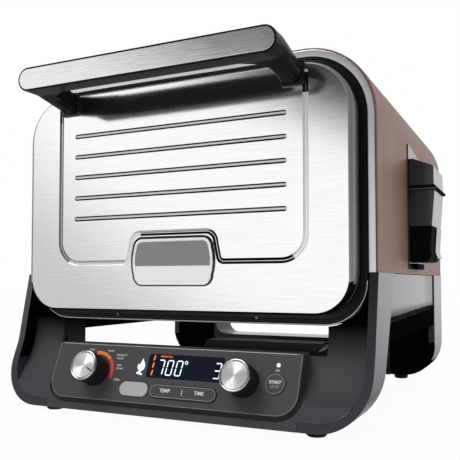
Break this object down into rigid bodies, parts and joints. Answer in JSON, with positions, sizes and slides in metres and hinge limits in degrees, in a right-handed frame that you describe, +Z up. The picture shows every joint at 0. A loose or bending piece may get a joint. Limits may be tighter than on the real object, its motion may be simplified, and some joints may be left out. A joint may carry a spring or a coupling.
{
  "type": "outdoor electric oven",
  "caption": "Countertop outdoor electric oven with a drop-down steel door, rounded casing, legged base with tilted control panel and a side smoke box for wood pellets.",
  "frame": {"origin": "on the floor, under the middle of the whole object's box", "axes": "+Z up, the door faces -Y, +X to the right as seen from the front"},
  "size_m": [0.4646, 0.532, 0.387],
  "materials": {
    "terracotta_paint": "matte textured paint",
    "brushed_steel": "brushed stainless steel",
    "black_enamel": "satin black paint",
    "cavity_enamel": "grey enamel",
    "fibre_blanket": "ceramic fibre blanket",
    "dark_steel": "dark plain steel",
    "bright_metal": "bright plated steel",
    "aluminium": "spun aluminium",
    "black_plastic": "fine moulded texture",
    "gloss_black": "gloss black",
    "panel_black": "satin black",
    "slate_grey": "semi-gloss slate grey",
    "silver_plastic": "silver paint",
    "display_glass": "dark tinted window",
    "clear_lens": "clear lens",
    "circuit_board": "solder mask",
    "black_rubber": "rubber",
    "pizza_stone": "cordierite stone",
    "ceramic": "unglazed ceramic"
  },
  "bodies": {
    "casing": {"outer_shell": "terracotta_paint", "front_trim": "brushed_steel", "door_surround": "black_enamel", "surround_bumpers": "bright_metal", "cavity_liner": "cavity_enamel", "insulation": "fibre_blanket", "bottom_pan": "black_enamel", "rear_panel": "black_enamel", "case_screws": "dark_steel", "cord_gland": "black_rubber", "upper_element": "dark_steel", "lower_element": "dark_steel", "temperature_probe": "bright_metal", "rack_rails": "dark_steel", "wire_rack": "bright_metal", "pizza_stone": "pizza_stone", "fan_motor": "dark_steel", "fan_cover": "cavity_enamel", "hinge_lugs": "dark_steel", "left_side_frame": "black_plastic", "right_side_frame": "black_plastic", "front_bezel": "black_plastic", "base_tray": "black_plastic", "electronics_cover": "gloss_black", "rear_crossbar": "black_plastic", "feet": "black_rubber", "control_fascia": "panel_black", "display_window": "display_glass", "display_module": "circuit_board", "control_board": "circuit_board", "mode_switch": "bright_metal", "set_encoder": "bright_metal", "power_lens": "clear_lens", "smoke_bracket": "black_plastic", "smoke_cup": "gloss_black", "smoke_housing": "slate_grey", "pellet_basket": "dark_steel", "igniter": "ceramic", "smoke_duct": "bright_metal", "lid_pin": "bright_metal"},
    "door": {"door_skin": "brushed_steel", "door_liner": "cavity_enamel", "door_insulation": "fibre_blanket", "door_gasket": "black_rubber", "hinge_pins": "dark_steel", "badge_plate": "aluminium", "handle_grip": "black_plastic", "handle_strip": "brushed_steel", "handle_collars": "bright_metal", "handle_screws": "dark_steel"},
    "mode_dial": {"mode_knob": "gloss_black", "mode_cap": "aluminium"},
    "set_dial": {"set_knob": "gloss_black", "set_cap": "aluminium"},
    "smoke_key": {"smoke_button": "silver_plastic"},
    "time_key": {"time_rocker": "panel_black"},
    "start_key": {"start_button": "panel_black"},
    "pellet_lid": {"smoke_lid": "slate_grey"},
    "fan": {"fan_rotor": "aluminium"}
  },
  "joints": [
    {"name": "door_hinge", "type": "hinge", "parent": "casing", "child": "door", "pos_m": [-0.01575, -0.179, 0.121], "axis": [1, 0, 0], "range_deg": [0, 90], "stiffness_Nm_per_rad": 1.5, "springref_deg": -45.84},
    {"name": "mode_turn", "type": "hinge", "parent": "casing", "child": "mode_dial", "pos_m": [-0.10525, -0.2039, 0.04927], "axis": [0, -0.9239, 0.3827], "range_deg": [0, 240]},
    {"name": "set_turn", "type": "hinge", "parent": "casing", "child": "set_dial", "pos_m": [0.07375, -0.2039, 0.04927], "axis": [0, -0.9239, 0.3827], "continuous": true},
    {"name": "smoke_press", "type": "slide", "parent": "casing", "child": "smoke_key", "axis": [0, 0.9239, -0.3827], "range_m": [0, 0.0012], "stiffness_N_per_m": 400},
    {"name": "time_rock", "type": "hinge", "parent": "casing", "child": "time_key", "pos_m": [0.00785, -0.20606, 0.0323], "axis": [0, 0.3827, 0.9239], "range_deg": [-1.8, 1.8], "stiffness_Nm_per_rad": 0.4},
    {"name": "start_press", "type": "slide", "parent": "casing", "child": "start_key", "axis": [0, 0.9239, -0.3827], "range_m": [0, 0.0012], "stiffness_N_per_m": 400},
    {"name": "lid_hinge", "type": "hinge", "parent": "casing", "child": "pellet_lid", "pos_m": [0.20545, 0.036, 0.2895], "axis": [0, -1, 0], "range_deg": [0, 95]},
    {"name": "fan_spin", "type": "hinge", "parent": "casing", "child": "fan", "pos_m": [-0.01575, 0.19, 0.2365], "axis": [0, 1, 0], "continuous": true}
  ]
}
